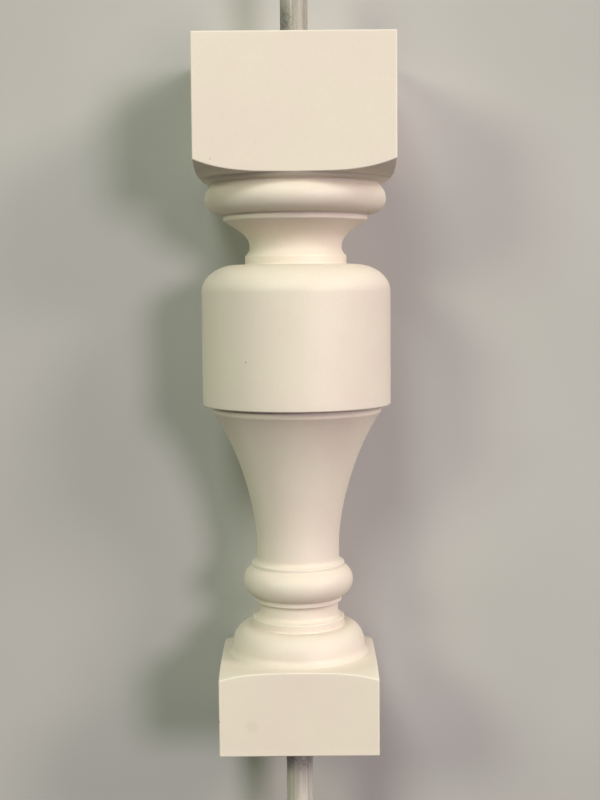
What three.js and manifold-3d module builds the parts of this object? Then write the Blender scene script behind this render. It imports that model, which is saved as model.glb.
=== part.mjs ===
// A turned stone baluster lying on its side, with the metal tube that runs through it.
// Millimetres, +Z up. The foot of the baluster points to +Y and its head to -Y.
// The origin is on the ground, below the middle of the part.

import * as THREE from 'three';
import { mergeVertices } from 'three/addons/utils/BufferGeometryUtils.js';
import Module from 'manifold-3d';

const wasm = await Module();
wasm.setup();

// Square plinth block at the foot, with a rounded shoulder and a low round seat for the torus
const plinthSide = 168;
const plinthCornerHeight = 102.6;
const plinthShoulderRise = 10.5;
const plinthSeatRise = 3.5;
const plinthSeatInset = 4.6;

// Torus above the seat, set back from the plinth's face; it springs from the seat in a small cove
const torusInset = 4.3;
const torusRound = 13.5;
const torusSeatGap = 0.48;
const torusTuckDegrees = 45;

// Fillet above the torus, set back from where the torus ends
const lowerFilletInset = 2.5;
const lowerFilletHeight = 5.4;

// Scotia, the hollow between the two fillets
const scotiaDiameter = 81.2;
const scotiaFallHeight = 23.4;
const scotiaRiseHeight = 7.4;

// Fillet above the scotia
const upperFilletDiameter = 89.6;
const upperFilletHeight = 7.6;

// Drum with a rounded shoulder and a sharp far edge, nearly as wide as the block that it is turned from
const drumInset = 0.5;
const drumHeight = 123.8;
const drumShoulderHeight = 24;
const drumShoulderReach = 31.6;
const drumEdgeRound = 1.4;

// Fillet under the drum's sharp edge, set back from the drum's side
const drumFilletInset = 8.5;
const drumFilletHeight = 6.3;

// Neck, which tapers in a hollow sweep and ends in a straight stretch
const neckDiameter = 73.8;
const neckSweepHeight = 117.9;
const neckStraightHeight = 12.5;

// Astragal, a bold round bead between two thin collars; each collar springs from its neck in a small cove
const nearCollarStandOut = 4.7;
const nearCollarHeight = 3.4;
const nearCollarCove = 4.9;
const astragalStandOut = 7.6;
const astragalRound = 15;
const farCollarStandOut = 3.6;
const farCollarHeight = 4.4;
const farCollarCove = 3.4;

// Short neck, a little slimmer than the long one, and the fillet that carries the ovolo
const shortNeckInset = 1.3;
const shortNeckHeight = 5.9;
const ovoloFilletStandOut = 5.7;
const ovoloFilletHeight = 7.4;
const ovoloFilletCove = 5.2;

// Ovolo, the round moulding under the cap, set back from the cap's face
const ovoloInset = 9.2;
const ovoloReach = 13.3;
const ovoloHeight = 19.8;
const ovoloBandHeight = 5.4;

// Square cap block at the head, with a rounded shoulder and a shallow slope up to the ovolo
const capSide = 138;
const capSlopeRise = 1.5;
const capShoulderRise = 6.7;
const capCornerHeight = 66.4;

// How far inside the middle of a block's face its rounded shoulder ends
const shoulderInset = 0.6;

// Round metal tube along the axis
const tubeDiameter = 24;
const tubeWall = 1.6;
const tubeStickOut = 85;
const tubeClearance = 0.35;

// How the seat's round edge is pulled from its foot, as shares of its inset and its height
const seatPull = { inwards: 0.5, up: 0.857 };

// How far the cove under the torus is pulled from the seat's edge and from the torus
const rootPull = { seatInwards: 4.4, seatUp: 0.4, torusInwards: 2.6, torusDown: 2.6 };

// How the two long hollow curves are pulled towards their deep ends, as shares of their height and depth
const scotiaPull = { drop: 0.59, lead: 0.38, settle: 0.45, rise: 0.55 };
const neckPull = { drop: 0.654, lead: 0.3, settle: 0.227 };

// How finely the round stretches are faceted
const turnedSegments = 52;
const tubeSegments = 40;

const stoneMaterial = new THREE.MeshStandardMaterial({ color: 0xe4dccb, roughness: 0.5, metalness: 0 });
const tubeMaterial = new THREE.MeshStandardMaterial({ color: 0xa39f96, roughness: 0.38, metalness: 0.9 });

// Radii of the members, from the ones that they stand out from or are set back from
const neckRadius = neckDiameter / 2;
const nearCollarRadius = neckRadius + nearCollarStandOut;
const astragalRadius = nearCollarRadius + astragalStandOut;
const astragalCentreRadius = astragalRadius - astragalRound;
const shortNeckRadius = neckRadius - shortNeckInset;
const farCollarRadius = shortNeckRadius + farCollarStandOut;
const ovoloFilletRadius = shortNeckRadius + ovoloFilletStandOut;
const ovoloRadius = capSide / 2 - ovoloInset;
const drumRadius = plinthSide / 2 - drumInset;
const drumFilletRadius = drumRadius - drumFilletInset;
const torusRadius = plinthSide / 2 - torusInset;
const lowerFilletRadius = torusRadius - torusRound - lowerFilletInset;
const upperFilletRadius = upperFilletDiameter / 2;
const plinthCornerRadius = plinthSide * Math.SQRT1_2;
const capCornerRadius = capSide * Math.SQRT1_2;

// Angles at which the torus leaves its cove and the bead leaves its two collars
const torusTuck = THREE.MathUtils.degToRad(torusTuckDegrees);
const nearBite = Math.acos((nearCollarRadius - astragalCentreRadius) / astragalRound);
const farBite = Math.acos((farCollarRadius - astragalCentreRadius) / astragalRound);

// Heights along the axis, from the foot's end face
const plinthShoulderTop = plinthCornerHeight + plinthShoulderRise;
const seatTop = plinthShoulderTop + plinthSeatRise;
const torusMiddle = seatTop + torusSeatGap + torusRound;
const torusTop = torusMiddle + torusRound;
const scotiaStart = torusTop + lowerFilletHeight;
const scotiaWaist = scotiaStart + scotiaFallHeight;
const upperFilletStart = scotiaWaist + scotiaRiseHeight;
const drumStart = upperFilletStart + upperFilletHeight;
const drumEnd = drumStart + drumHeight;
const neckStart = drumEnd + drumFilletHeight;
const neckSweepEnd = neckStart + neckSweepHeight;
const nearCoveStart = neckSweepEnd + neckStraightHeight;
const nearCollarStart = nearCoveStart + nearCollarCove;
const astragalStart = nearCollarStart + nearCollarHeight;
const astragalMiddle = astragalStart + astragalRound * Math.sin(nearBite);
const astragalEnd = astragalMiddle + astragalRound * Math.sin(farBite);
const farCoveStart = astragalEnd + farCollarHeight;
const shortNeckStart = farCoveStart + farCollarCove;
const ovoloCoveStart = shortNeckStart + shortNeckHeight;
const ovoloFilletStart = ovoloCoveStart + ovoloFilletCove;
const ovoloStart = ovoloFilletStart + ovoloFilletHeight;
const ovoloTop = ovoloStart + ovoloHeight;
const capStart = ovoloTop + ovoloBandHeight;
const capShoulderTop = capStart + capSlopeRise;
const capCorner = capShoulderTop + capShoulderRise;
const balusterLength = capCorner + capCornerHeight;

// Points of the outline are (radius, height)
const point = (radius, height) => new THREE.Vector2(radius, height);

// A hollow curve that leaves its start along the axis and meets its end squarely, or the other way round
const cove = (from, corner, to, steps) => new THREE.QuadraticBezierCurve(from, corner, to).getPoints(steps);

function arcPoints(centreRadius, centreHeight, reach, height, startAngle, endAngle, steps) {
  const curve = new THREE.EllipseCurve(centreRadius, centreHeight, reach, height, startAngle, endAngle);
  return curve.getPoints(steps);
}

// Where the seat's round edge ends and its cove starts
const seatEdge = point(plinthSide / 2 - shoulderInset - plinthSeatInset, seatTop);

// The torus, and the cove by which it springs from its seat
function torusPoints() {
  const centreRadius = torusRadius - torusRound;
  const round = arcPoints(centreRadius, torusMiddle, torusRound, torusRound, -torusTuck, Math.PI / 2, 7);
  const seatGuide = point(seatEdge.x - rootPull.seatInwards, seatEdge.y + rootPull.seatUp);
  const torusGuide = point(round[0].x - rootPull.torusInwards, round[0].y - rootPull.torusDown);
  const root = new THREE.CubicBezierCurve(seatEdge, seatGuide, torusGuide, round[0]).getPoints(3);
  return [...root.slice(1, -1), ...round];
}

function scotiaPoints() {
  const start = point(lowerFilletRadius, scotiaStart);
  const waist = point(scotiaDiameter / 2, scotiaWaist);
  const end = point(upperFilletRadius, upperFilletStart);
  const depth = start.x - waist.x;
  const lead = scotiaFallHeight * scotiaPull.lead;
  const startGuide = point(start.x - depth * scotiaPull.drop, scotiaStart + lead);
  const waistGuide = point(waist.x, scotiaWaist - scotiaFallHeight * scotiaPull.settle);
  const fall = new THREE.CubicBezierCurve(start, startGuide, waistGuide, waist).getPoints(8);
  const riseCorner = point(waist.x, scotiaWaist + scotiaRiseHeight * scotiaPull.rise);
  const rise = cove(waist, riseCorner, end, 4);
  return [...fall, ...rise];
}

function drumPoints() {
  const reach = Math.min(drumShoulderReach, drumRadius - upperFilletRadius);
  const shoulderEnd = drumStart + drumShoulderHeight;
  const shoulder = arcPoints(drumRadius - reach, shoulderEnd, reach, drumShoulderHeight, -Math.PI / 2, 0, 9);
  const round = drumEdgeRound;
  const edge = arcPoints(drumRadius - round, drumEnd - round, round, round, 0, Math.PI / 2, 2);
  return [point(upperFilletRadius, drumStart), ...shoulder, ...edge, point(drumFilletRadius, drumEnd)];
}

function neckPoints() {
  const start = point(drumFilletRadius, neckStart);
  const end = point(neckRadius, neckSweepEnd);
  const depth = start.x - end.x;
  const startGuide = point(start.x - depth * neckPull.drop, neckStart + neckSweepHeight * neckPull.lead);
  const endGuide = point(end.x, neckSweepEnd - neckSweepHeight * neckPull.settle);
  return new THREE.CubicBezierCurve(start, startGuide, endGuide, end).getPoints(10);
}

function astragalPoints() {
  const nearCove = cove(
    point(neckRadius, nearCoveStart),
    point(neckRadius, nearCollarStart),
    point(nearCollarRadius, nearCollarStart),
    3,
  );
  const round = astragalRound;
  const bead = arcPoints(astragalCentreRadius, astragalMiddle, round, round, -nearBite, farBite, 9);
  const farCove = cove(
    point(farCollarRadius, farCoveStart),
    point(shortNeckRadius, farCoveStart),
    point(shortNeckRadius, shortNeckStart),
    3,
  );
  return [...nearCove, ...bead, ...farCove];
}

function ovoloPoints() {
  const filletCove = cove(
    point(shortNeckRadius, ovoloCoveStart),
    point(shortNeckRadius, ovoloFilletStart),
    point(ovoloFilletRadius, ovoloFilletStart),
    3,
  );
  const reach = Math.min(ovoloReach, ovoloRadius - ovoloFilletRadius);
  const round = arcPoints(ovoloRadius - reach, ovoloTop, reach, ovoloHeight, -Math.PI / 2, 0, 6);
  return [...filletCove, point(ovoloFilletRadius, ovoloStart), ...round, point(ovoloRadius, capStart)];
}

// The rounded shoulder that the lathe cuts on a square block, from past the block's corner to inside its face
function shoulderPoints(side, cornerHeight, endHeight, spare) {
  const corner = point(side * Math.SQRT1_2, cornerHeight);
  const end = point(side / 2 - shoulderInset, endHeight);
  const guide = point((corner.x + end.x) / 2, endHeight);
  const slope = (endHeight - cornerHeight) / (corner.x - guide.x);
  return [point(corner.x + spare, cornerHeight - spare * slope), ...cove(corner, guide, end, 5)];
}

// The seat's round edge, from the inner end of the plinth's shoulder
function seatPoints() {
  const foot = point(plinthSide / 2 - shoulderInset, plinthShoulderTop);
  const bulge = point(foot.x - plinthSeatInset * seatPull.inwards, foot.y + plinthSeatRise * seatPull.up);
  return cove(foot, bulge, seatEdge, 2).slice(1);
}

// The turned members between the two square blocks, from the foot to the head
const turnedOutline = [
  ...torusPoints(),
  point(lowerFilletRadius, torusTop),
  ...scotiaPoints(),
  ...drumPoints(),
  ...neckPoints(),
  ...astragalPoints(),
  ...ovoloPoints(),
];
const turnedRadius = Math.max(...turnedOutline.map((corner) => corner.x));

// A closed three.js mesh as a solid that can be joined and cut
function solidFrom(geometry) {
  geometry.deleteAttribute('normal');
  geometry.deleteAttribute('uv');
  const merged = mergeVertices(geometry);
  const corners = merged.index.array;
  const triangles = [];
  for (let i = 0; i < corners.length; i += 3) {
    const [a, b, c] = [corners[i], corners[i + 1], corners[i + 2]];
    if (a !== b && b !== c && c !== a) triangles.push(a, b, c);
  }
  const mesh = new wasm.Mesh({
    numProp: 3,
    vertProperties: Float32Array.from(merged.attributes.position.array),
    triVerts: Uint32Array.from(triangles),
  });
  return new wasm.Manifold(mesh);
}

function geometryFrom(solid) {
  const mesh = solid.getMesh();
  const geometry = new THREE.BufferGeometry();
  geometry.setAttribute('position', new THREE.BufferAttribute(mesh.vertProperties, 3));
  geometry.setIndex(new THREE.BufferAttribute(mesh.triVerts, 1));
  geometry.computeVertexNormals();
  return geometry;
}

// A turned solid standing on its foot, its axis along Z
function turned(points, segments) {
  return new THREE.LatheGeometry(points, segments).rotateX(Math.PI / 2);
}

// A square block round the axis, from one height to another
function squareBlock(side, bottom, top) {
  return new THREE.BoxGeometry(side, side, top - bottom).translate(0, 0, (bottom + top) / 2);
}

// The baluster is turned from a square block, so each end is where the turned form and the square meet
function balusterGeometry() {
  const spare = 1;
  const outline = [
    point(0, 0),
    point(plinthCornerRadius + spare, 0),
    ...shoulderPoints(plinthSide, plinthCornerHeight, plinthShoulderTop, spare),
    ...seatPoints(),
    ...turnedOutline,
    ...shoulderPoints(capSide, capCorner, capShoulderTop, spare).reverse(),
    point(capCornerRadius + spare, balusterLength),
    point(0, balusterLength),
  ];
  const plinthBlock = solidFrom(squareBlock(plinthSide, -spare, seatTop));
  const turnedStretch = solidFrom(squareBlock(2 * (turnedRadius + spare), seatTop, capStart));
  const capBlock = solidFrom(squareBlock(capSide, capStart, balusterLength + spare));
  const boreRadius = tubeDiameter / 2 + tubeClearance;
  const bore = new THREE.CylinderGeometry(boreRadius, boreRadius, balusterLength + 2 * spare, tubeSegments)
    .rotateX(Math.PI / 2)
    .translate(0, 0, balusterLength / 2);
  const envelope = plinthBlock.add(turnedStretch).add(capBlock);
  const body = solidFrom(turned(outline, turnedSegments)).intersect(envelope).subtract(solidFrom(bore));
  return geometryFrom(body);
}

// The tube is open at both ends and sticks out of the baluster by the same length at each
function tubeGeometry() {
  const outer = tubeDiameter / 2;
  const inner = outer - tubeWall;
  const bottom = -tubeStickOut;
  const top = balusterLength + tubeStickOut;
  const section = [point(inner, bottom), point(outer, bottom), point(outer, top), point(inner, top)];
  return turned([...section, section[0]], tubeSegments);
}

const baluster = new THREE.Mesh(balusterGeometry(), stoneMaterial);
baluster.name = 'baluster';

const coreTube = new THREE.Mesh(tubeGeometry(), tubeMaterial);
coreTube.name = 'core_tube';

// Lying, it rests on the widest of the members that can touch the ground
const axisHeight = Math.max(plinthSide / 2, capSide / 2, turnedRadius);
const part = new THREE.Group();
part.add(baluster, coreTube);
part.rotation.x = Math.PI / 2;
part.position.set(0, balusterLength / 2, axisHeight);

export default part;
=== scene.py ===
# %% [markdown]
# # A turned stone baluster, lying on its side
#
# The baluster is one stone: a square plinth block at its foot, a stack of turned mouldings and a smaller
# square cap block at its head. A grey metal tube runs through it from end to end. This lesson dresses the
# plain model of it. The stone gets a fine mesh with eased arrises, the tube gets a drawn and zinc-coated
# skin, and both get finishes made of nodes.
#
# The scene is in metres. The sizes of the members are written in millimetres, and become metres when a mesh
# is made of them. The ground is at z = 0, the foot points to +Y and the head to -Y.

# %% Load the frame
import math

import bpy
import numpy as np
from mathutils import Matrix, Vector


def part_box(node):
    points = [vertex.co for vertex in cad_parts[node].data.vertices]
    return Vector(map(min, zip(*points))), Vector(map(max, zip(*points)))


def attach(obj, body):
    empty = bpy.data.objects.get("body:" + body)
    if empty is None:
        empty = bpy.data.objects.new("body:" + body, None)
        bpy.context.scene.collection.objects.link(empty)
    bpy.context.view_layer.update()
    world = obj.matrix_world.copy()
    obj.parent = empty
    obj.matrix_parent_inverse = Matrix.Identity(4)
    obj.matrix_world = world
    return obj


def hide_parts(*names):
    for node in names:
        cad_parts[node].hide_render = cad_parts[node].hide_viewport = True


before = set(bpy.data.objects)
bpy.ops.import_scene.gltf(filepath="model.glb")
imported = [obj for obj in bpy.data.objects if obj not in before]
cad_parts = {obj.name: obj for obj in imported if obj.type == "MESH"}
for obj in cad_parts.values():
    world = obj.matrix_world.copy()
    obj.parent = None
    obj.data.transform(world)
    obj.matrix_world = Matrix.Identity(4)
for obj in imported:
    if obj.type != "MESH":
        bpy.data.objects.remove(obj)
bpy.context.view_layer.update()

MM = 0.001
stone_low, stone_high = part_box("baluster")
tube_low, tube_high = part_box("core_tube")
axis_height = (tube_low.z + tube_high.z) / 2
stone_length = stone_high.y - stone_low.y
print("stone length", round(stone_length, 4), "axis height", round(axis_height, 4))

# %% [markdown]
# ## The camera
#
# The view looks almost straight down at the lying baluster, from a little over a metre, with the foot at
# the top of the picture. The camera stands a little nearer to the foot than to the head and leans towards
# the head, and it is held a hair off level. The focal length is known in pixels, and the sensor is 36 mm
# along the picture's long side, so one division gives the lens.

# %% Camera
SENSOR = 36.0
LONG_SIDE_PIXELS = 800
FOCAL_PIXELS = 1340
CAMERA_PLACE = (2.8 * MM, 101.6 * MM, 1274.8 * MM)
CAMERA_LEAN = math.radians(5.03)
CAMERA_ROLL = math.radians(0.46)


def make_camera():
    data = bpy.data.cameras.new("camera")
    data.sensor_fit = "AUTO"
    data.sensor_width = SENSOR
    data.lens = FOCAL_PIXELS * SENSOR / LONG_SIDE_PIXELS
    camera = bpy.data.objects.new("camera", data)
    bpy.context.scene.collection.objects.link(camera)
    lean = Matrix.Rotation(-CAMERA_LEAN, 4, "X")
    roll = Matrix.Rotation(-CAMERA_ROLL, 4, "Z")
    camera.matrix_world = Matrix.Translation(CAMERA_PLACE) @ lean @ roll
    bpy.context.scene.camera = camera
    return camera


camera = make_camera()
print("lens", round(camera.data.lens, 2), "mm")

# %% [markdown]
# ## Curves for the outline
#
# A turner thinks of a baluster as one outline spun round an axis, member by member: torus, fillet,
# scotia, drum, neck, bead, ovolo. Each point here is (radius, height), in millimetres, with the height
# measured from the foot. Round members are arcs. The hollow ones are Bezier curves, because a real scotia
# or neck is no single arc.

# %% Curves
def arc(centre, reach, start, end, steps):
    angles = np.radians(np.linspace(start, end, steps + 1))
    return [(centre[0] + reach[0] * math.cos(a), centre[1] + reach[1] * math.sin(a)) for a in angles]


def bezier(guides, steps):
    order = len(guides) - 1
    points = []
    for t in np.linspace(0, 1, steps + 1):
        shares = [math.comb(order, i) * t**i * (1 - t) ** (order - i) for i in range(order + 1)]
        points.append(tuple(sum(s * g[axis] for s, g in zip(shares, guides)) for axis in (0, 1)))
    return points


quarter_round = arc((0, 0), (1, 1), 0, 90, 4)
print("a quarter round in four steps:", [tuple(round(v, 2) for v in p) for p in quarter_round])

# %% [markdown]
# ## From the foot's seat to the scotia
#
# The members follow each other along the axis, so each one starts where the last one ended and only its
# own height and radius are given. The same sizes drive the plain model, which keeps this mesh on it.
#
# The plinth carries a low round seat. The torus is a bold round that springs from this seat in a smooth
# cove, so no dark crease lies between them. A narrow fillet parts it from the scotia, which falls steeply
# and comes up again in a short sweep. The scotia is two curves that share their deepest point.

# %% Seat, torus, fillet and scotia
PLINTH_SIDE = 168.0
PLINTH_CORNER = 102.6
PLINTH_RISE = 10.5
SHOULDER_INSET = 0.6
SEAT_PULL = (2.3, 3.0)
SEAT_EDGE = (4.6, 3.5)
SEAT_STEPS = 14
SEAT_FOOT_STEPS = 4
TORUS_RADIUS = 79.7
TORUS_ROUND = 13.5
TORUS_MIDDLE = 17.48
TORUS_TUCK = 45.0
TORUS_STEPS = 26
SEAT_SIDE_PULL = (4.4, 0.4)
TORUS_SIDE_PULL = (2.6, 2.6)
ROOT_STEPS = 14
LOWER_FILLET_RADIUS = 63.7
LOWER_FILLET = 5.4
LOWER_COVE = 2.2
LOWER_COVE_STEPS = 6
SCOTIA_RADIUS = 40.6
SCOTIA_FALL = 23.4
SCOTIA_RISE = 7.4
SCOTIA_PULL = {"drop": 0.59, "lead": 0.38, "settle": 0.45, "rise": 0.55}
SCOTIA_FALL_STEPS = 24
SCOTIA_RISE_STEPS = 8
UPPER_FILLET_RADIUS = 44.8
UPPER_FILLET = 7.6


def seat_curve(start):
    """The low seat's rounded edge, from the inner end of the plinth's shoulder to the seat's top."""
    foot = (PLINTH_SIDE / 2 - SHOULDER_INSET, start)
    bulge = (foot[0] - SEAT_PULL[0], start + SEAT_PULL[1])
    edge = (foot[0] - SEAT_EDGE[0], start + SEAT_EDGE[1])
    return bezier([foot, bulge, edge], SEAT_STEPS)


def torus_members(start):
    """The cove from the seat's edge, the torus, and the small cove that ends it on its fillet."""
    middle = start + TORUS_MIDDLE
    top = middle + TORUS_ROUND
    centre = (TORUS_RADIUS - TORUS_ROUND, middle)
    round_part = arc(centre, (TORUS_ROUND, TORUS_ROUND), -TORUS_TUCK, 90, TORUS_STEPS)
    seat_edge = seat_curve(start)[-1]
    spring = round_part[0]
    seat_side = (seat_edge[0] - SEAT_SIDE_PULL[0], seat_edge[1] + SEAT_SIDE_PULL[1])
    torus_side = (spring[0] - TORUS_SIDE_PULL[0], spring[1] - TORUS_SIDE_PULL[1])
    root = bezier([seat_edge, seat_side, torus_side, spring], ROOT_STEPS)[1:-1]
    guides = [round_part[-1], (LOWER_FILLET_RADIUS, top), (LOWER_FILLET_RADIUS, top + LOWER_COVE)]
    return root + round_part + bezier(guides, LOWER_COVE_STEPS)[1:], top + LOWER_FILLET


def scotia_members(start):
    """The scotia's long fall, its short rise, and the fillet that ends it."""
    depth = LOWER_FILLET_RADIUS - SCOTIA_RADIUS
    waist = start + SCOTIA_FALL
    points = bezier([
        (LOWER_FILLET_RADIUS, start),
        (LOWER_FILLET_RADIUS - SCOTIA_PULL["drop"] * depth, start + SCOTIA_PULL["lead"] * SCOTIA_FALL),
        (SCOTIA_RADIUS, waist - SCOTIA_PULL["settle"] * SCOTIA_FALL),
        (SCOTIA_RADIUS, waist),
    ], SCOTIA_FALL_STEPS)
    height = waist + SCOTIA_RISE
    points += bezier([
        (SCOTIA_RADIUS, waist),
        (SCOTIA_RADIUS, waist + SCOTIA_PULL["rise"] * SCOTIA_RISE),
        (UPPER_FILLET_RADIUS, height),
    ], SCOTIA_RISE_STEPS)[1:]
    height += UPPER_FILLET
    points.append((UPPER_FILLET_RADIUS, height))
    return points, height


shoulder_top = PLINTH_CORNER + PLINTH_RISE
seat = seat_curve(shoulder_top)
torus_points, scotia_start = torus_members(shoulder_top)
scotia_points, drum_start = scotia_members(scotia_start)
print("the drum starts", round(drum_start, 2), "mm from the foot")

# %% [markdown]
# ## The drum and the neck
#
# The drum is the widest turned member, nearly as wide as the block that it is turned from. Its near
# shoulder is a large quarter of an ellipse and its far edge is almost sharp. From there the neck tapers
# in one long hollow sweep, steep at first and nearly straight at its end. The drum's straight side is cut
# into short steps, so that the mesh has even faces.

# %% Drum and neck
DRUM_RADIUS = 83.5
DRUM_HEIGHT = 123.8
DRUM_SHOULDER = 24.0
DRUM_SHOULDER_STEPS = 30
DRUM_REACH = 31.6
DRUM_EDGE = 1.4
DRUM_EDGE_STEPS = 6
DRUM_FILLET_RADIUS = 75.0
DRUM_FILLET = 6.3
NECK_RADIUS = 36.9
NECK_SWEEP = 117.9
NECK_STRAIGHT = 12.5
NECK_PULL = {"drop": 0.654, "lead": 0.3, "settle": 0.227}
NECK_STEPS = 40
WALL_STEP = 6.0


def drum_members(start):
    shoulder_end = start + DRUM_SHOULDER
    end = start + DRUM_HEIGHT
    centre = (DRUM_RADIUS - DRUM_REACH, shoulder_end)
    points = arc(centre, (DRUM_REACH, DRUM_SHOULDER), -90, 0, DRUM_SHOULDER_STEPS)
    wall_end = end - DRUM_EDGE
    steps = round((wall_end - shoulder_end) / WALL_STEP)
    points += [(DRUM_RADIUS, h) for h in np.linspace(shoulder_end, wall_end, steps + 1)[1:-1]]
    points += arc((DRUM_RADIUS - DRUM_EDGE, wall_end), (DRUM_EDGE, DRUM_EDGE), 0, 90, DRUM_EDGE_STEPS)
    points.append((DRUM_FILLET_RADIUS, end))
    neck_start = end + DRUM_FILLET
    sweep_end = neck_start + NECK_SWEEP
    depth = DRUM_FILLET_RADIUS - NECK_RADIUS
    points += bezier([
        (DRUM_FILLET_RADIUS, neck_start),
        (DRUM_FILLET_RADIUS - NECK_PULL["drop"] * depth, neck_start + NECK_PULL["lead"] * NECK_SWEEP),
        (NECK_RADIUS, sweep_end - NECK_PULL["settle"] * NECK_SWEEP),
        (NECK_RADIUS, sweep_end),
    ], NECK_STEPS)
    return points, sweep_end + NECK_STRAIGHT


drum_points, bead_start = drum_members(drum_start)
print("the bead's first cove starts", round(bead_start, 2), "mm from the foot")

# %% [markdown]
# ## The bead, the short neck and the ovolo
#
# At the neck's end a bold round bead sits between two thin collars. Each collar springs from its neck in
# a small cove, a quarter round drawn as a curve with its guide in the corner. The bead is a little over a
# third of a circle: its arc starts and ends where it bites into the collars, and the two angles follow
# from the radii. A short neck, a fillet and the ovolo lead on to the cap.

# %% Bead, short neck and ovolo
COVE_STEPS = 7
NEAR_COLLAR_RADIUS = NECK_RADIUS + 4.7
NEAR_COLLAR = 3.4
NEAR_COVE = 4.9
BEAD_RADIUS = NEAR_COLLAR_RADIUS + 7.6
BEAD_ROUND = 15.0
BEAD_STEPS = 30
SHORT_NECK_RADIUS = NECK_RADIUS - 1.3
SHORT_NECK = 5.9
FAR_COLLAR_RADIUS = SHORT_NECK_RADIUS + 3.6
FAR_COLLAR = 4.4
FAR_COVE = 3.4
OVOLO_FILLET_RADIUS = SHORT_NECK_RADIUS + 5.7
OVOLO_FILLET = 7.4
OVOLO_COVE = 5.2
OVOLO_RADIUS = 59.8
OVOLO_REACH = 13.3
OVOLO_HEIGHT = 19.8
OVOLO_STEPS = 24
OVOLO_BAND = 5.4


def head_members(start):
    collar = start + NEAR_COVE
    guides = [(NECK_RADIUS, start), (NECK_RADIUS, collar), (NEAR_COLLAR_RADIUS, collar)]
    points = bezier(guides, COVE_STEPS)
    centre = BEAD_RADIUS - BEAD_ROUND
    near_bite = math.acos((NEAR_COLLAR_RADIUS - centre) / BEAD_ROUND)
    far_bite = math.acos((FAR_COLLAR_RADIUS - centre) / BEAD_ROUND)
    middle = collar + NEAR_COLLAR + BEAD_ROUND * math.sin(near_bite)
    bites = (-math.degrees(near_bite), math.degrees(far_bite))
    points += arc((centre, middle), (BEAD_ROUND, BEAD_ROUND), *bites, BEAD_STEPS)
    height = middle + BEAD_ROUND * math.sin(far_bite) + FAR_COLLAR
    neck = height + FAR_COVE
    guides = [(FAR_COLLAR_RADIUS, height), (SHORT_NECK_RADIUS, height), (SHORT_NECK_RADIUS, neck)]
    points += bezier(guides, COVE_STEPS)
    cove = neck + SHORT_NECK
    fillet = cove + OVOLO_COVE
    guides = [(SHORT_NECK_RADIUS, cove), (SHORT_NECK_RADIUS, fillet), (OVOLO_FILLET_RADIUS, fillet)]
    points += bezier(guides, COVE_STEPS)
    ovolo = fillet + OVOLO_FILLET
    points.append((OVOLO_FILLET_RADIUS, ovolo))
    top = ovolo + OVOLO_HEIGHT
    points += arc((OVOLO_RADIUS - OVOLO_REACH, top), (OVOLO_REACH, OVOLO_HEIGHT), -90, 0, OVOLO_STEPS)
    return points, top + OVOLO_BAND


head_points, cap_start = head_members(bead_start)
turned_points = seat[SEAT_FOOT_STEPS:] + torus_points + scotia_points + drum_points + head_points
print("the cap starts", round(cap_start, 2), "mm from the foot;", len(turned_points), "outline points")

# %% [markdown]
# ## Easing the arrises
#
# No cast or rubbed stone has a knife edge. Where the outline turns sharply, its corner is cut back a
# little on both sides and bridged with a small curve. A bevel would do this too, but the close points of
# the arcs would hold it back. A point is kept just outside each cut, so that smooth shading stays on the
# small curve and doesn't smear over the flat next to it.

# %% Ease
ARRIS = 0.9
SHARP_TURN = math.radians(25)
GUARD = 0.5
EASE_STEPS = 4


def turn_at(points, i):
    before = points[i] - points[i - 1]
    after = points[i + 1] - points[i]
    cross = before[0] * after[1] - before[1] * after[0]
    return abs(math.atan2(cross, float(before @ after)))


def walk(points, i, step, distance):
    """The point at that distance from corner i along the outline, and the next corner past it."""
    here = points[i]
    while 0 <= i + step < len(points):
        there = points[i + step]
        length = float(np.linalg.norm(there - here))
        if length >= distance:
            return here + (there - here) * distance / length, i + step
        distance -= length
        here = there
        i += step
    return here, i + step


def eased(points, arris):
    points = [np.array(p) for p in points]
    keep = []
    next_free = 0
    for i in range(1, len(points) - 1):
        if turn_at(points, i) < SHARP_TURN:
            continue
        before, last_kept = walk(points, i, -1, arris)
        after, first_kept = walk(points, i, 1, arris)
        guard_before, last_kept = walk(points, i, -1, arris + GUARD)
        guard_after, first_kept = walk(points, i, 1, arris + GUARD)
        keep += points[next_free:last_kept + 1] + [guard_before]
        keep += [np.array(p) for p in bezier([before, points[i], after], EASE_STEPS)] + [guard_after]
        next_free = first_kept
    return np.array(keep + points[next_free:])


print("an arris is cut back", ARRIS, "mm on each side")

# %% [markdown]
# ## The two square blocks
#
# Each end starts as a square block, and the lathe then rounds its shoulder over. That cut meets each flat
# face in the curved line that shows at the block's inner end. The line is nearly straight in the middle
# of the face and falls away towards the corners, because the shoulder is level near the face and steep
# near the corner.

# %% Shoulder profiles
CAP_SIDE = 138.0
CAP_CORNER = 66.4
CAP_RISE = 6.7
CAP_SLOPE = 1.5
SLOPE_START = 2.7
CREASE_EASE = 1.1
SHOULDER_STEPS = 60


def shoulder(side, corner_height, rise):
    """The round a lathe leaves on a square block, from the block's corner to just inside its face."""
    corner = side * math.sqrt(0.5)
    end = side / 2 - SHOULDER_INSET
    top = corner_height + rise
    return bezier([(corner, corner_height), ((corner + end) / 2, top), (end, top)], SHOULDER_STEPS)


plinth_shoulder = shoulder(PLINTH_SIDE, PLINTH_CORNER, PLINTH_RISE) + seat[1:SEAT_FOOT_STEPS + 1]
plinth_shoulder = eased(plinth_shoulder, CREASE_EASE)

cap_shoulder = shoulder(CAP_SIDE, CAP_CORNER, CAP_RISE)
slope_share = SLOPE_START / (cap_shoulder[-1][0] - OVOLO_RADIUS)
cap_shoulder.append((OVOLO_RADIUS + SLOPE_START, cap_shoulder[-1][1] + CAP_SLOPE * (1 - slope_share)))
cap_shoulder = np.array(cap_shoulder)

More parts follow.
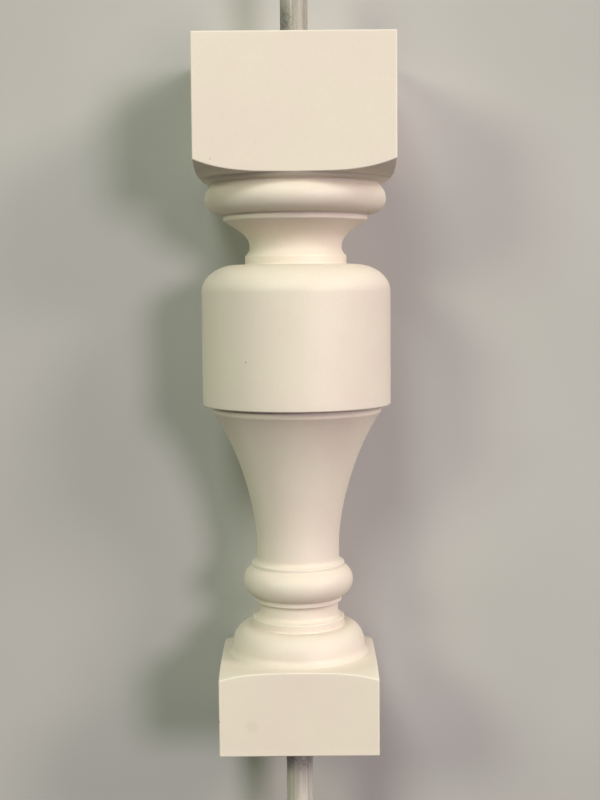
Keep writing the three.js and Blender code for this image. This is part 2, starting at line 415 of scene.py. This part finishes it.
full_height = stone_length / MM
turned_points.append((cap_shoulder[-1][0], full_height - cap_shoulder[-1][1]))
turned = eased(turned_points, ARRIS)
print("eased outline:", len(turned), "points")
print("the cap's slope ends", round(full_height - cap_start, 2), "mm from the head")

# %% [markdown]
# ## Columns round the axis
#
# A boolean cut between the block and the turned form would give the curved line too, but with ragged
# triangles. Here the mesh is built as columns instead: every column stands at one angle round the axis,
# knows how far out the square's side is there, and so knows where the shoulder meets it. The columns
# stand closer together at the block's four long edges, which are rounded by a millimetre.

# %% Columns
EVEN_COLUMNS = 45
CORNER_COLUMNS = (0.0, 0.12, 0.24, 0.38, 0.62, 1.0, 1.5)
BLOCK_ROUND = 1.0


def column_angles():
    corner = 45.0
    quarter = {round(360 / (4 * EVEN_COLUMNS) * (i + 0.5), 4) for i in range(EVEN_COLUMNS)}
    quarter = {a for a in quarter if abs(a - corner) > max(CORNER_COLUMNS)}
    quarter |= {corner + side * a for a in CORNER_COLUMNS for side in (-1, 1)}
    return np.radians(sorted(q * 90.0 + a for q in range(4) for a in quarter))


def square_radius(angles, half_side):
    """How far the side of a square with rounded corners is from its middle, at each angle."""
    folded = np.abs(np.mod(angles + math.pi / 4, math.pi / 2) - math.pi / 4)
    flat = half_side / np.cos(folded)
    centre = half_side - BLOCK_ROUND
    along = centre * (np.cos(folded) + np.sin(folded))
    gap = np.maximum(BLOCK_ROUND**2 - 2 * centre**2 + along**2, 0)
    rounded = along + np.sqrt(gap)
    at_corner = flat * np.sin(folded) > centre
    return np.where(at_corner, rounded, flat)


angles = column_angles()
print(len(angles), "columns; corner at", round(float(square_radius(angles, PLINTH_SIDE / 2).max()), 2), "mm")

# %% [markdown]
# ## Rows of a block
#
# The rows go from the bore's mouth out over the end face, up the flat side and in over the shoulder. Rows
# crowd together at each arris, so that the small curve there is smooth, and they are sparse on the flats.

# %% Rows of a block
BORE_RADIUS = 12.35
BORE_EASE = 0.7
FACE_SHARES = (0.04, 0.35, 0.7, 0.985)
WALL_ENDS = (0.008, 0.992)
SHOULDER_SHARES = (0.02, 0.08, 0.18, 0.3, 0.45, 0.6, 0.75, 0.87, 0.93, 0.95, 0.962, 0.972, 0.98, 0.988)


def bridge(before, corner, after):
    """A small curve over a corner, for all columns at once."""
    rows = []
    for t in np.linspace(0, 1, EASE_STEPS + 1):
        shares = (1 - t) ** 2, 2 * t * (1 - t), t * t
        rows.append([shares[0] * a + shares[1] * b + shares[2] * c for a, b, c in zip(before, corner, after)])
    return rows


def between(start, end, shares):
    return [[a + (b - a) * s for a, b in zip(start, end)] for s in shares]


def block_rows(side, corner_height, profile):
    """Rows (radius, height) of a block, from its bore over its end face and wall to its shoulder's end."""
    def top(radius):
        return np.interp(radius, profile[::-1, 0], profile[::-1, 1])

    out = square_radius(angles, side / 2)
    still = np.zeros_like(out)
    rows = bridge((still + BORE_RADIUS, still + BORE_EASE), (still + BORE_RADIUS, still),
                  (still + BORE_RADIUS + BORE_EASE, still))
    rows += between((still + BORE_RADIUS + BORE_EASE, still), (out - ARRIS, still), FACE_SHARES)
    rows += bridge((out - ARRIS, still), (out, still), (out, still + ARRIS))
    steps = round(corner_height / WALL_STEP)
    wall_shares = [WALL_ENDS[0], *np.linspace(0, 1, steps + 1)[1:-1], WALL_ENDS[1]]
    rows += between((out, still + ARRIS), (out, top(out) - ARRIS), wall_shares)
    rows += bridge((out, top(out) - ARRIS), (out, top(out)), (out - ARRIS, top(out - ARRIS)))
    for share in SHOULDER_SHARES:
        radius = out - ARRIS + (profile[-1, 0] - out + ARRIS) * share
        rows.append([radius, top(radius)])
    return rows


plinth_rows = block_rows(PLINTH_SIDE, PLINTH_CORNER, plinth_shoulder)
cap_rows = block_rows(CAP_SIDE, CAP_CORNER, cap_shoulder)
print(len(plinth_rows), "rows in the plinth and", len(cap_rows), "in the cap")

# %% [markdown]
# ## Where the stone is painted paler and where darker
#
# Each arris is painted paler, partly as handling wear and partly as a painted highlight along the edge, and
# each crease is painted darker. Both follow from the shape: they are where the outline turns a lot within a
# millimetre or two, outwards for an arris and inwards for a crease. Painting them by hand would not follow a
# changed size, so they are measured on the rows. Each corner of the mesh keeps both shares, and the finish
# reads them later.

# %% Wear
WEAR_HIGHLIGHT_REACH = 1.3
WEAR_HIGHLIGHT_START = 0.3
CREASE_REACHES = (0.8, 1.8, 3.2)
CREASE_START = 0.25
TURN_GAIN = 1.4
SPARE = 1.0
FAR_AWAY = 99.0


def turn_within(radius, height, reach):
    """How far each column's outline turns within the reach on both sides of each corner, in right angles."""
    turns = np.zeros_like(radius)
    for j in range(radius.shape[1]):
        steps = np.diff(radius[:, j]), np.diff(height[:, j])
        lengths = np.hypot(*steps)
        place = np.concatenate([[0], np.cumsum(lengths)])
        middle = (place[:-1] + place[1:]) / 2
        heading = np.unwrap(np.arctan2(steps[1], steps[0]))
        ahead = np.interp(place + reach, middle, heading)
        behind = np.interp(place - reach, middle, heading)
        turns[:, j] = (ahead - behind) / (math.pi / 2)
    return turns


def corner_line_gap(radius, height, half_side, start, end):
    """The distance from a block's four long edges, or a large number outside the block."""
    across = np.abs(radius * np.cos(angles))
    up = np.abs(radius * np.sin(angles))
    gap = np.hypot(half_side - across, half_side - up)
    return np.where((height > start) & (height < end), gap, FAR_AWAY)


def write_arris_and_crease_shares(piece, rows):
    radius = np.array([r[0] for r in rows])
    height = np.array([r[1] for r in rows])
    cap_corner = full_height - CAP_CORNER
    gap = corner_line_gap(radius, height, PLINTH_SIDE / 2, 0, PLINTH_CORNER + SPARE)
    gap = np.minimum(gap, corner_line_gap(radius, height, CAP_SIDE / 2, cap_corner - SPARE, full_height))
    # The arris share is painted paler in the finish: partly wear, partly a painted highlight along the edge.
    arris = np.clip(turn_within(radius, height, WEAR_HIGHLIGHT_REACH) * TURN_GAIN - WEAR_HIGHLIGHT_START, 0, 1)
    arris = np.maximum(arris, np.exp(-(gap / WEAR_HIGHLIGHT_REACH) ** 2))
    # The crease share is painted darker in the finish.
    turns = [-turn_within(radius, height, reach) for reach in CREASE_REACHES]
    crease_darkening = sum(np.clip(turn * TURN_GAIN - CREASE_START, 0, 1) for turn in turns)
    for name, share in (("arris", arris), ("crease", crease_darkening / len(CREASE_REACHES))):
        layer = piece.data.attributes.new(name, "FLOAT", "POINT")
        layer.data.foreach_set("value", share.astype(np.float32).ravel())
    print("worn corners:", int((arris > 0.5).sum()), "dusty corners:", int((crease_darkening > 1.5).sum()))


print("wear is measured within", WEAR_HIGHLIGHT_REACH, "mm and dust within", CREASE_REACHES, "mm")

# %% [markdown]
# ## The stone as one mesh
#
# The rows of the plinth, the turned stretch and the cap follow each other, and the bore closes the loop,
# so the whole stone is one grid of four-sided faces with no open edge. Each row is a ring round the axis.

# %% Grid to mesh
def ring_mesh(name, rows, angles, length):
    """A closed mesh from rings of (radius, height). The last ring joins the first one again."""
    radius = np.array([r[0] for r in rows]) * MM
    height = np.array([r[1] for r in rows]) * MM
    count, columns = radius.shape
    x = radius * np.cos(angles)
    z = radius * np.sin(angles) + axis_height
    y = length / 2 - height
    corners = np.stack([x, y, z], axis=2).reshape(-1, 3)
    i = np.arange(count)[:, None]
    j = np.arange(columns)[None, :]
    right = (j + 1) % columns
    up = (i + 1) % count
    faces = np.stack([i * columns + j, i * columns + right, up * columns + right, up * columns + j], axis=2)
    mesh = bpy.data.meshes.new(name)
    mesh.from_pydata(corners.tolist(), [], faces.reshape(-1, 4).tolist())
    mesh.polygons.foreach_set("use_smooth", [True] * len(mesh.polygons))
    mesh.validate()
    piece = bpy.data.objects.new(name, mesh)
    bpy.context.scene.collection.objects.link(piece)
    return piece


def stone_rows():
    ring = np.ones_like(angles)
    rows = list(plinth_rows)
    rows += [(p[0] * ring, p[1] * ring) for p in turned]
    rows += [(r, full_height - h) for r, h in reversed(cap_rows)]
    return rows


stone = ring_mesh("stone_body", stone_rows(), angles, stone_length)
write_arris_and_crease_shares(stone, stone_rows())
print("stone mesh:", len(stone.data.vertices), "corners,", 2 * len(stone.data.polygons), "triangles")

# %% [markdown]
# ## The tube
#
# A drawn steel tube with a thin zinc coat. It is a ring section spun round the axis, open at both ends,
# with a slightly worn rim where it was sawn off. A curve with a round bevel would make a tube faster, but
# it gives no hold on the rim, so the same rings as the stone's are used.

# %% Tube
TUBE_RADIUS = 12.0
TUBE_WALL = 1.6
TUBE_EASE = 0.35
TUBE_MOUTH = 4.0
TUBE_COLUMNS = 96


def tube_rows():
    length = (tube_high.y - tube_low.y) / MM
    inner = TUBE_RADIUS - TUBE_WALL
    steps = round(length / WALL_STEP)
    outside = [(TUBE_RADIUS, h) for h in np.linspace(2 * TUBE_EASE, length - 2 * TUBE_EASE, steps)]
    rim = [(inner, TUBE_MOUTH), (inner, 2 * TUBE_EASE), (inner, TUBE_EASE), (inner + TUBE_EASE, 0)]
    rim += [(TUBE_RADIUS - TUBE_EASE, 0), (TUBE_RADIUS, TUBE_EASE)]
    far = [(r, length - h) for r, h in reversed(rim)]
    ring = np.ones(TUBE_COLUMNS)
    return [(r * ring, h * ring) for r, h in rim + outside + far]


tube_angles = np.linspace(0, 2 * math.pi, TUBE_COLUMNS, endpoint=False)
tube = ring_mesh("tube_body", tube_rows(), tube_angles, tube_high.y - tube_low.y)
print("tube mesh:", len(tube.data.vertices), "corners")

# %% [markdown]
# ## Small helpers for finishes
#
# A finish is a tree of nodes. Each helper adds one kind of node and joins it to what feeds it, so that a
# finish reads as a short list of steps: where on the piece, which pattern, how strong, what colour.

# %% Node helpers
class Finish:
    """A material and the short calls that build its node tree."""

    def __init__(self, name):
        self.material = bpy.data.materials.new(name)
        self.material.use_nodes = True
        self.tree = self.material.node_tree
        self.shader = self.tree.nodes["Principled BSDF"]

    def node(self, kind, **settings):
        made = self.tree.nodes.new(kind)
        for key, value in settings.items():
            setattr(made, key, value)
        return made

    def feed(self, socket, value):
        if isinstance(value, bpy.types.NodeSocket):
            self.tree.links.new(value, socket)
        elif isinstance(value, tuple) and len(value) == 3 and socket.type == "RGBA":
            socket.default_value = (*value, 1)
        else:
            socket.default_value = value

    def place(self):
        """Coordinates in metres, fixed to the piece."""
        return self.node("ShaderNodeTexCoord").outputs["Object"]

    def stretched(self, place, scale):
        made = self.node("ShaderNodeMapping")
        self.feed(made.inputs["Vector"], place)
        self.feed(made.inputs["Scale"], scale)
        return made.outputs["Vector"]

    def clouds(self, place, size, detail, rough=0.5):
        """A soft pattern whose patches are about size metres across, from 0 to 1."""
        made = self.node("ShaderNodeTexNoise")
        self.feed(made.inputs["Vector"], place)
        self.feed(made.inputs["Scale"], 1 / size)
        self.feed(made.inputs["Detail"], detail)
        self.feed(made.inputs["Roughness"], rough)
        return made.outputs["Fac"]

    def range(self, value, low, high, to_low=0.0, to_high=1.0):
        """Turns low to high into to_low to to_high, with a soft start and end."""
        made = self.node("ShaderNodeMapRange", interpolation_type="SMOOTHSTEP")
        for socket, number in zip(("Value", "From Min", "From Max", "To Min", "To Max"),
                                  (value, low, high, to_low, to_high)):
            self.feed(made.inputs[socket], number)
        return made.outputs["Result"]

    def sum(self, operation, a, b):
        made = self.node("ShaderNodeMath", operation=operation)
        self.feed(made.inputs[0], a)
        self.feed(made.inputs[1], b)
        return made.outputs[0]

    def blend(self, share, first, second, mode="MIX"):
        made = self.node("ShaderNodeMix", data_type="RGBA", blend_type=mode)
        self.feed(made.inputs["Factor"], share)
        self.feed(made.inputs["A"], first)
        self.feed(made.inputs["B"], second)
        return next(o for o in made.outputs if o.type == "RGBA")

    def written(self, name):
        """A share that the mesh carries at its corners."""
        return self.node("ShaderNodeAttribute", attribute_name=name).outputs["Fac"]

    def spot(self, place, centre, radius, soft):
        """1 inside a round spot on the piece and 0 outside it."""
        made = self.node("ShaderNodeVectorMath", operation="DISTANCE")
        self.feed(made.inputs[0], place)
        self.feed(made.inputs[1], centre)
        return self.range(made.outputs["Value"], radius + soft, radius - soft)

    def bump(self, height, depth, under=None):
        made = self.node("ShaderNodeBump")
        self.feed(made.inputs["Height"], height)
        self.feed(made.inputs["Distance"], depth)
        if under is not None:
            self.feed(made.inputs["Normal"], under)
        return made.outputs["Normal"]


print("helpers ready")

# %% [markdown]
# ## The stone's finish
#
# The real surface is a smooth, semi-matt, off-white cast stone. Seen close, such a face is not one
# colour: it has broad, very faint clouds from the mix, a fine sandy grain, and a pinhole here and there.
# Arrises are a touch paler, from wear and from a painted highlight along each edge, and creases are painted a
# little darker. A few marks are this stone's own: a faint round stain near the cap's end, two tiny dark
# specks and a small nick on the cap's long edge.
#
# One flat colour would look like plastic. Patterns that are laid over each other, each of them weak, keep
# the stone plain from afar and alive from near.

# %% Stone finish
STONE_CREAM = (0.80, 0.725, 0.61)
STONE_ROSE = (0.79, 0.695, 0.60)
STONE_PALE_HIGHLIGHT = (0.88, 0.835, 0.745)
PALE_HIGHLIGHT_STRENGTH = 0.3
CREASE_DARK = (0.42, 0.37, 0.31)
CREASE_DARK_STRENGTH = (0.04, 0.14)
SPECK = (0.20, 0.17, 0.14)
STAIN = (0.66, 0.595, 0.49)
STAIN_STRENGTH = 0.35
STAIN_SPOT = ((-40.4 * MM, -278.6 * MM, axis_height + 69 * MM), 5.0 * MM, 1.4 * MM)
DRUM_SPECK = ((-42.4 * MM, 35.0 * MM, axis_height + 71.9 * MM), 0.7 * MM, 0.4 * MM)
PLINTH_SPECK = ((-68.9 * MM, 202.5 * MM, axis_height + 84 * MM), 0.7 * MM, 0.7 * MM)
CAP_NICK = ((-69 * MM, -274.1 * MM, axis_height + 69 * MM), 1.0 * MM, 0.5 * MM)
SPECKS = ((DRUM_SPECK, 0.55), (PLINTH_SPECK, 0.35), (CAP_NICK, 0.55))
BROAD_SIZE = 70 * MM
CREASE_DARK_SIZE = 6 * MM
HANDLED_SIZE = 30 * MM
GRAIN_SIZE = 1.1 * MM
GRAIN_STRENGTH = 0.07
GRAIN_DEPTH = 0.03 * MM
PINHOLES = {"size": 16 * MM, "radius": 0.5 * MM, "share": 0.06}
PINHOLE_STRENGTH = 0.2
PINHOLE_DEPTH = 0.3 * MM
STONE_ROUGHNESS = (0.46, 0.58)
WAVE_SIZE = 20 * MM
WAVE_DEPTH = 0.12 * MM
MOST = (0.3, 0.7)
MIDDLE = (0.35, 0.65)


def pinholes(finish, place, size, radius, share):
    """Tiny round dots, at most one to each cell of that size, and only in that share of the cells."""
    cells = finish.node("ShaderNodeTexVoronoi", feature="F1")
    finish.feed(cells.inputs["Vector"], place)
    finish.feed(cells.inputs["Scale"], 1 / size)
    dot = finish.range(cells.outputs["Distance"], radius / size, 0.4 * radius / size)
    chosen = finish.node("ShaderNodeSeparateColor")
    finish.feed(chosen.inputs["Color"], cells.outputs["Color"])
    kept = finish.sum("GREATER_THAN", chosen.outputs[0], 1 - share)
    return finish.sum("MULTIPLY", dot, kept)


def stone_finish():
    finish = Finish("cast_stone")
    place = finish.place()
    broad = finish.clouds(place, BROAD_SIZE, detail=3, rough=0.55)
    colour = finish.blend(finish.range(broad, *MIDDLE), STONE_CREAM, STONE_ROSE)
    grain = finish.clouds(place, GRAIN_SIZE, detail=3, rough=0.7)
    colour = finish.blend(finish.range(grain, *MOST, 0.0, GRAIN_STRENGTH), colour, SPECK)
    # Arrises painted paler: partly handling wear, partly a painted highlight along the edge.
    paler_and_highlight = finish.sum("MULTIPLY", finish.written("arris"), PALE_HIGHLIGHT_STRENGTH)
    colour = finish.blend(paler_and_highlight, colour, STONE_PALE_HIGHLIGHT)
    # Creases painted a darker grey-brown, in clouds.
    crease_dark_cloud = finish.range(finish.clouds(place, CREASE_DARK_SIZE, detail=4, rough=0.6), *MOST, *CREASE_DARK_STRENGTH)
    colour = finish.blend(finish.sum("MULTIPLY", finish.written("crease"), crease_dark_cloud), colour, CREASE_DARK)
    holes = pinholes(finish, place, **PINHOLES)
    colour = finish.blend(finish.sum("MULTIPLY", holes, PINHOLE_STRENGTH), colour, SPECK)
    stain = finish.sum("MULTIPLY", finish.spot(place, *STAIN_SPOT), STAIN_STRENGTH)
    colour = finish.blend(stain, colour, STAIN)
    for speck, strength in SPECKS:
        colour = finish.blend(finish.sum("MULTIPLY", finish.spot(place, *speck), strength), colour, SPECK)
    finish.feed(finish.shader.inputs["Base Color"], colour)
    handled = finish.clouds(place, HANDLED_SIZE, detail=4, rough=0.6)
    finish.feed(finish.shader.inputs["Roughness"], finish.range(handled, *MOST, *STONE_ROUGHNESS))
    normal = finish.bump(finish.clouds(place, WAVE_SIZE, detail=2), WAVE_DEPTH)
    normal = finish.bump(grain, GRAIN_DEPTH, normal)
    normal = finish.bump(finish.sum("MULTIPLY", holes, -1.0), PINHOLE_DEPTH, normal)
    finish.feed(finish.shader.inputs["Normal"], normal)
    return finish.material


stone.data.materials.append(stone_finish())
print("stone finish:", len(stone.data.materials[0].node_tree.nodes), "nodes")

# %% [markdown]
# ## The tube's finish
#
# Zinc-coated steel goes dull grey in use. It keeps fine streaks along its length from drawing, pale
# blotches of dried mortar, and hardly any shine. Near the stone it is painted dark, as smudges together
# with painted shade, most on its shaded side and at the head's end all round. The foot's end is painted
# darker as painted shade, with one thin painted highlight line.
#
# The streaks and blotches are cloud patterns stretched along the tube. The smudges and the painted shade
# near the stone are a second, finer cloud that is kept to a short reach from the stone's end faces.

# %% Tube finish
ZINC = (0.72, 0.68, 0.60)
ZINC_DARK = (0.56, 0.53, 0.47)
FOOT_END_SHADE = (0.56, 0.56, 0.55)
PAINTED_HIGHLIGHT = (0.62, 0.60, 0.54)
HIGHLIGHT_LINE = (-2.5 * MM, 1.0 * MM, 0.2 * MM)
MORTAR = (0.74, 0.69, 0.60)
MORTAR_SPREAD = (0.45, 0.75)
MORTAR_STRENGTH = (0, 0.6)
SMUDGE_AND_SHADE = (0.09, 0.085, 0.08)
SMUDGE_SHADE_REACH = 42 * MM
SMUDGE_SHADE_FULL = 0.55
SMUDGE_SHADE_SPREAD = (0.4, 0.62)
SMUDGE_SHADE_STRENGTH = (0.4, 0.85)
SHADED_SIDE = (4 * MM, -8 * MM, 0.15, 1.0)
HEAD_SMUDGE_SHADE = 0.75
END_FADE = 0.1
STREAK_SIZE = 1.6 * MM
STREAK_STRETCH = (1, 0.02, 1)
STREAK_DEPTH = 0.02 * MM
BLOTCH_SIZE = 9 * MM
BLOTCH_STRETCH = (1, 0.5, 1)
BLOTCH_DEPTH = 0.04 * MM
GRIME_SIZE = 2.2 * MM
METAL_SPREAD = (0.4, 0.75)
TUBE_METAL = (0.2, 0.05)
TUBE_ROUGHNESS = (0.52, 0.64)


def highlight_line(finish, across, streaks):
    """1 along the thin painted highlight line, broken up by the streaks."""
    middle, outer, inner = HIGHLIGHT_LINE
    off_line = finish.sum("ABSOLUTE", finish.sum("SUBTRACT", across, middle), 0)
    return finish.sum("MULTIPLY", finish.range(off_line, outer, inner), finish.range(streaks, *MOST))


def smudges_and_shade(finish, across, along, grime):
    """Smudges with painted shade near the stone: on the shaded side, or all round at the head."""
    edge = stone_length / 2
    from_middle = finish.sum("ABSOLUTE", along, 0)
    near_stone = finish.range(from_middle, edge + SMUDGE_SHADE_REACH, edge + SMUDGE_SHADE_FULL * SMUDGE_SHADE_REACH)
    shaded_side = finish.range(across, *SHADED_SIDE)
    shaded_side = finish.sum("MAXIMUM", shaded_side, finish.range(along, 0, -END_FADE, 0, HEAD_SMUDGE_SHADE))
    smudge_and_shade = finish.sum("MULTIPLY", near_stone, finish.range(grime, *SMUDGE_SHADE_SPREAD, *SMUDGE_SHADE_STRENGTH))
    return finish.sum("MULTIPLY", smudge_and_shade, shaded_side)


def tube_finish():
    finish = Finish("zinc_coat")
    place = finish.place()
    streaks = finish.clouds(finish.stretched(place, STREAK_STRETCH), STREAK_SIZE, detail=3, rough=0.6)
    blotches = finish.clouds(finish.stretched(place, BLOTCH_STRETCH), BLOTCH_SIZE, detail=4, rough=0.6)
    grime = finish.clouds(place, GRIME_SIZE, detail=4, rough=0.7)
    parts = finish.node("ShaderNodeSeparateXYZ")
    finish.feed(parts.inputs[0], place)
    across = parts.outputs["X"]
    along = parts.outputs["Y"]
    foot_end = finish.range(along, 0, END_FADE)
    colour = finish.blend(finish.range(streaks, *MIDDLE), ZINC, ZINC_DARK)
    colour = finish.blend(finish.range(blotches, *MORTAR_SPREAD, *MORTAR_STRENGTH), colour, MORTAR)
    # The foot's end is painted darker, as painted shade.
    colour = finish.blend(foot_end, colour, FOOT_END_SHADE, mode="MULTIPLY")
    # A thin painted highlight line along the foot's end, broken up by the streaks.
    highlight_share = finish.sum("MULTIPLY", highlight_line(finish, across, streaks), foot_end)
    colour = finish.blend(highlight_share, colour, PAINTED_HIGHLIGHT)
    # Dark smudges near the stone, joined with painted shade on the shaded side and all round at the head's
    # end.
    colour = finish.blend(smudges_and_shade(finish, across, along, grime), colour, SMUDGE_AND_SHADE)
    finish.feed(finish.shader.inputs["Base Color"], colour)
    finish.feed(finish.shader.inputs["Metallic"], finish.range(blotches, *METAL_SPREAD, *TUBE_METAL))
    finish.feed(finish.shader.inputs["Roughness"], finish.range(grime, *MOST, *TUBE_ROUGHNESS))
    normal = finish.bump(streaks, STREAK_DEPTH)
    normal = finish.bump(blotches, BLOTCH_DEPTH, normal)
    finish.feed(finish.shader.inputs["Normal"], normal)
    return finish.material


tube.data.materials.append(tube_finish())
print("tube finish:", len(tube.data.materials[0].node_tree.nodes), "nodes")

# %% [markdown]
# ## The floor
#
# A plain pale floor of matt paper, wide enough to fill the view. It is a single square, not attached to the
# baluster's body.

# %% Floor
PAPER = (0.45, 0.44, 0.42)
PAPER_PALE = (0.48, 0.47, 0.45)
PAPER_ROUGHNESS = 0.85
FIBRE_SIZE = 0.25
FLOOR_HALF = 4.0


def floor_finish():
    finish = Finish("floor_paper")
    fibre = finish.clouds(finish.place(), FIBRE_SIZE, detail=2)
    colour = finish.blend(finish.range(fibre, *MOST), PAPER, PAPER_PALE)
    finish.feed(finish.shader.inputs["Base Color"], colour)
    finish.feed(finish.shader.inputs["Roughness"], PAPER_ROUGHNESS)
    return finish.material


def make_floor():
    corners = [(x * FLOOR_HALF, y * FLOOR_HALF, 0) for x, y in ((-1, -1), (1, -1), (1, 1), (-1, 1))]
    mesh = bpy.data.meshes.new("floor")
    mesh.from_pydata(corners, [], [(0, 1, 2, 3)])
    made = bpy.data.objects.new("floor", mesh)
    bpy.context.scene.collection.objects.link(made)
    made.data.materials.append(floor_finish())
    return made


floor = make_floor()
print("the floor is", 2 * FLOOR_HALF, "m across")

# %% [markdown]
# ## The light
#
# The light falls from the foot's side and a little from the right, so each moulding is bright where it
# faces the foot and dark where it faces the head. The lamps are large discs, because the shadows under
# the mouldings have soft edges. They are tinted slightly, mostly greenish on the left and pinkish on the
# right, as the stone is seen.

# %% Lamps
LAMP_DISTANCE = 8.0
TARGET = Vector((0, 0, axis_height))


def make_lamp(name, tilt, heading, size, watts, colour):
    """A disc lamp, tilted from straight above towards a heading. Heading 0 is +X and 90 is +Y."""
    data = bpy.data.lights.new(name, "AREA")
    data.shape = "DISK"
    data.size = size
    data.energy = watts
    data.color = colour
    lamp = bpy.data.objects.new(name, data)
    tilt = math.radians(tilt)
    heading = math.radians(heading)
    way = Vector((math.sin(tilt) * math.cos(heading), math.sin(tilt) * math.sin(heading), math.cos(tilt)))
    lamp.location = TARGET + way * LAMP_DISTANCE
    lamp.rotation_mode = "QUATERNION"
    lamp.rotation_quaternion = (-way).to_track_quat("-Z", "Y")
    lamp.visible_camera = False
    bpy.context.scene.collection.objects.link(lamp)
    return lamp


def make_sky(colour, strength):
    world = bpy.data.worlds.new("studio")
    world.use_nodes = True
    background = world.node_tree.nodes["Background"]
    background.inputs["Color"].default_value = (*colour, 1)
    background.inputs["Strength"].default_value = strength
    bpy.context.scene.world = world


SKY_COLOUR = (1.0, 0.98, 0.92)
SKY_STRENGTH = 0.01
LAMPS = (
    ("key", 30, 20, 2.0, 250, (1.0, 0.86, 0.95)),
    ("foot_key", 45, 105, 2.4, 204, (0.93, 1.0, 0.95)),
    ("left_fill", 45, 150, 2.4, 210, (0.90, 1.0, 0.72)),
    ("right_fill", 58, 30, 2.4, 264, (1.0, 0.88, 0.82)),
    ("low_fill", 75, 45, 3.0, 118, (0.85, 1.0, 0.80)),
)
for lamp in LAMPS:
    make_lamp(*lamp)
make_sky(SKY_COLOUR, SKY_STRENGTH)
bpy.context.scene.view_settings.view_transform = "Standard"
print(len(LAMPS), "lamps")

# %% [markdown]
# ## Hand over
#
# The stone and the tube don't move against each other, so both ride on the part's root, and the plain piece
# that each stands for is hidden.

# %% Hand over
def hand_over(piece, node):
    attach(piece, "root")
    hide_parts(node)


hand_over(stone, "baluster")
hand_over(tube, "core_tube")
